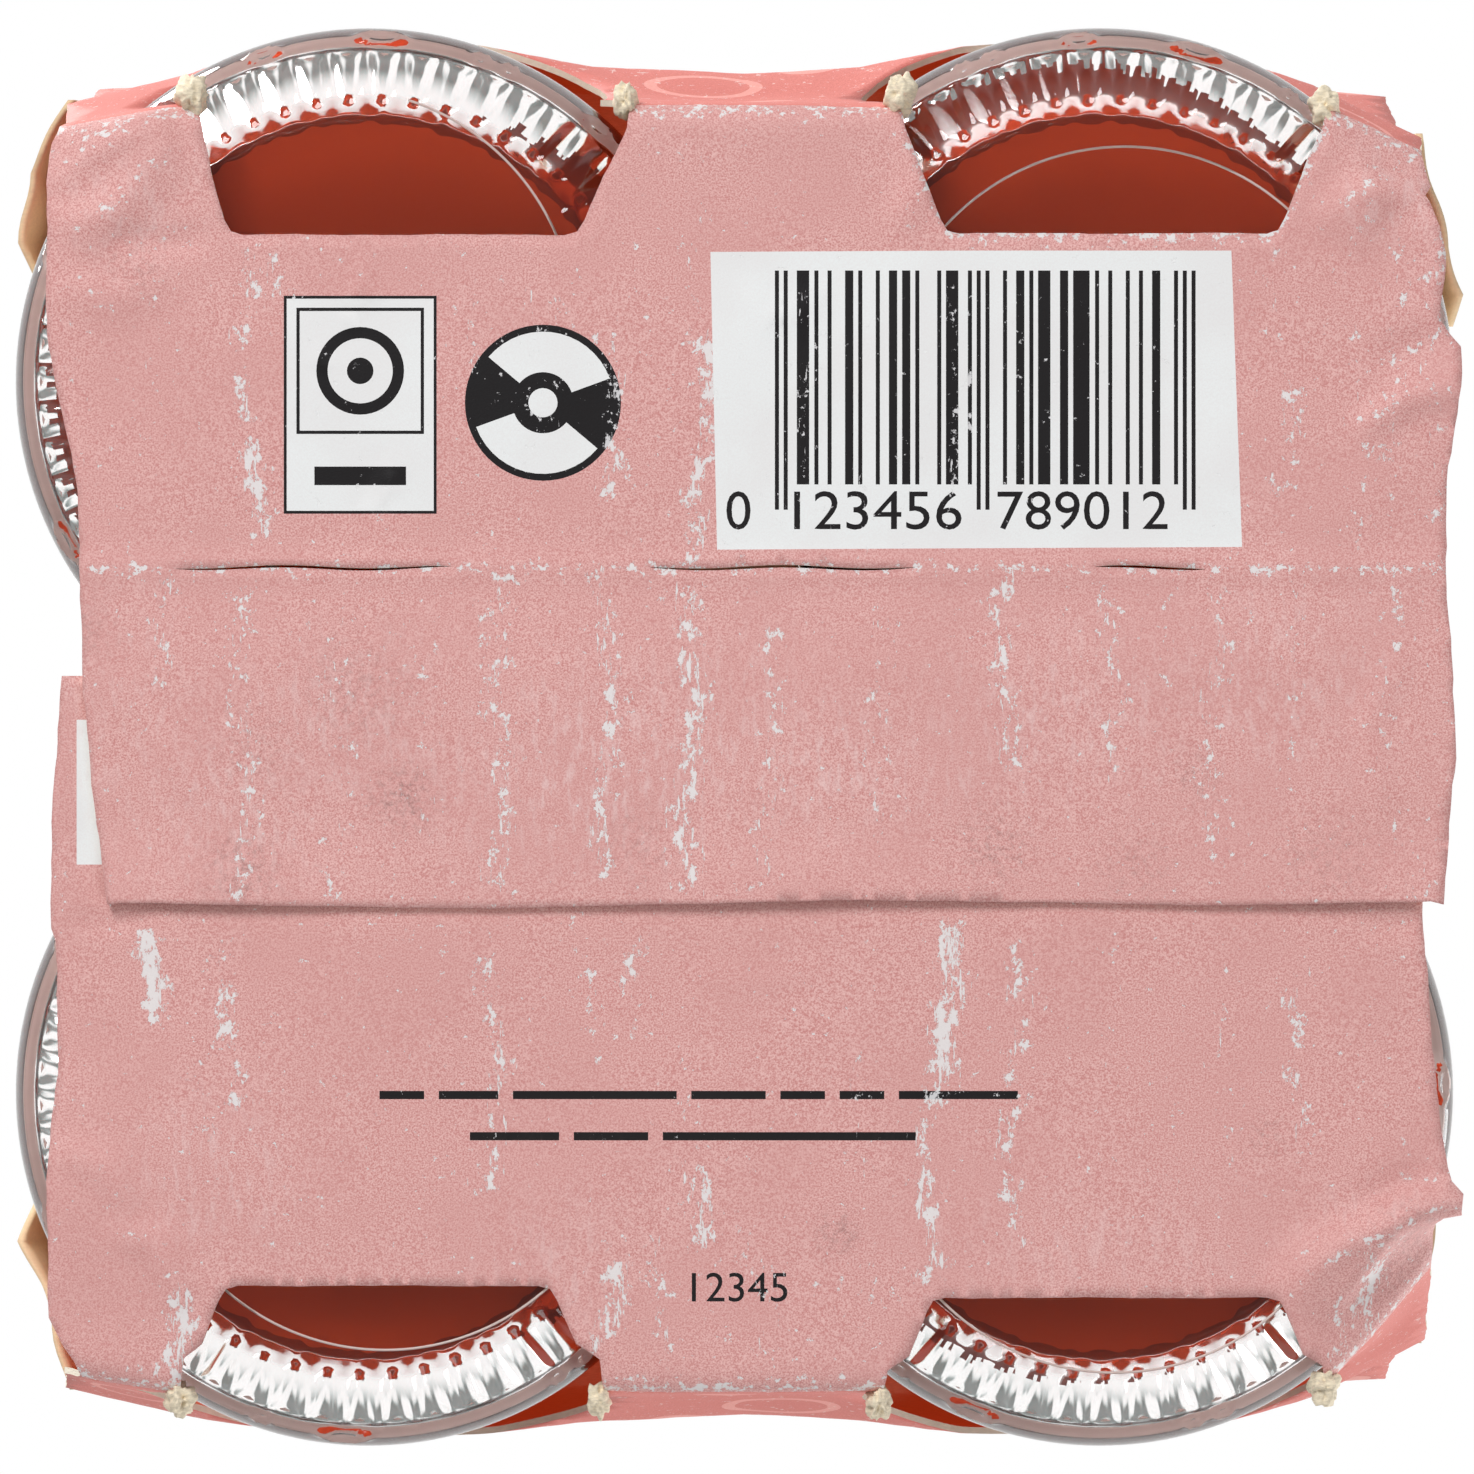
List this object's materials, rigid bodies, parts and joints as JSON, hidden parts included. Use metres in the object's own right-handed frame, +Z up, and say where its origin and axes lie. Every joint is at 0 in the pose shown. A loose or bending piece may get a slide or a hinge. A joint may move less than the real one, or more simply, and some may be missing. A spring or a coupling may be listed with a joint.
{
  "type": "four pack of mixer bottles",
  "caption": "Pack of small clear glass bottles of red mixer drink with crown caps, held in an open-ended wrap of printed board with heel openings and finger holes.",
  "frame": {"origin": "middle of the pack's footprint; z = 0 is the underside of the glued base flap it stands on", "axes": "+X runs along the wrap through its two open ends, -Y is the front wall, +Z is up"},
  "size_m": [0.1118, 0.1086, 0.1637],
  "materials": {
    "printed_board": "uncoated board printed light pink and coral, brown inside",
    "clear_glass": "clear flint glass",
    "red_drink": "clear brick-red liquid",
    "cap_metal": "semi-gloss lacquer",
    "label_paper": "uncoated paper",
    "print_black": "printed ink",
    "print_white": "printed ink"
  },
  "bodies": {
    "root": {"carton": "printed_board", "bottle_front_left": "clear_glass", "drink_front_left": "red_drink", "cap_front_left": "cap_metal", "label_front_left": "label_paper", "bottle_front_right": "clear_glass", "drink_front_right": "red_drink", "cap_front_right": "cap_metal", "label_front_right": "label_paper", "bottle_back_left": "clear_glass", "drink_back_left": "red_drink", "cap_back_left": "cap_metal", "label_back_left": "label_paper", "bottle_back_right": "clear_glass", "drink_back_right": "red_drink", "cap_back_right": "cap_metal", "label_back_right": "label_paper"}
  },
  "joints": []
}
